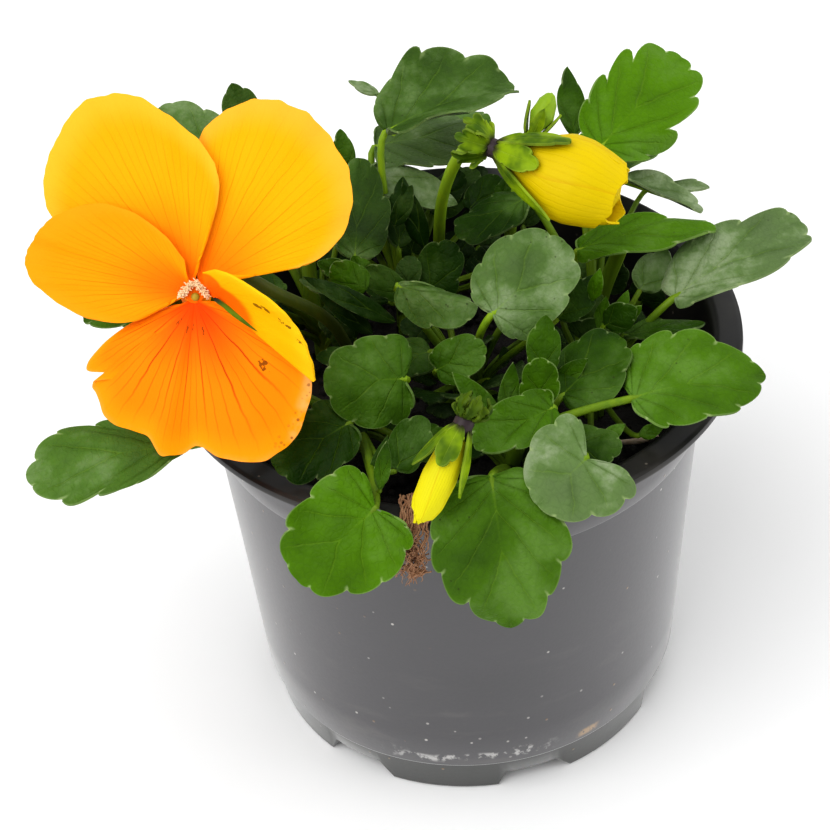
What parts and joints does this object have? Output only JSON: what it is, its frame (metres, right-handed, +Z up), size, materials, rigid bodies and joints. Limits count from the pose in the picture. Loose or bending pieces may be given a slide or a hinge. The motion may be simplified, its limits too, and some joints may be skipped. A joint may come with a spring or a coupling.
{
  "type": "potted horned violet",
  "caption": "Bushy horned violet with an open bloom, furled buds and scalloped leaves, rooted in soil in a round tapered nursery pot with a flat lip and a footed base.",
  "frame": {"origin": "centre of the pot's underside, on the ground", "axes": "+Z up, -Y toward the viewer of the front, +X to that viewer's right"},
  "size_m": [0.1182, 0.1115, 0.1176],
  "materials": {
    "pot_plastic": "dark grey moulded plastic, semi-gloss, dusty and scuffed at the foot",
    "earth": null,
    "leaf_green": "glossy green leaf with paler veins; leather stands for leaf tissue",
    "petal_orange": "velvety orange petal; fabric stands for petal tissue",
    "stalk_green": "smooth light green stalk and calyx; leather stands for plant tissue",
    "bud_yellow": "waxy yellow furled petals; fabric stands for petal tissue",
    "root_brown": "dry brown root fibre",
    "straw_pale": "dry straw"
  },
  "bodies": {
    "root": {"pot": "pot_plastic", "soil": "earth", "shoot_left": "leaf_green", "shoot_back": "leaf_green", "shoot_back_right": "leaf_green", "shoot_right": "leaf_green", "shoot_middle": "leaf_green", "shoot_front": "leaf_green", "shoot_left_back": "leaf_green", "bloom_petals": "petal_orange", "bloom_stalk": "stalk_green", "big_bud_petals": "bud_yellow", "big_bud_calyx": "stalk_green", "front_bud_petals": "bud_yellow", "front_bud_calyx": "stalk_green", "small_bud": "stalk_green", "root_tuft": "root_brown", "straw": "straw_pale"}
  },
  "joints": []
}
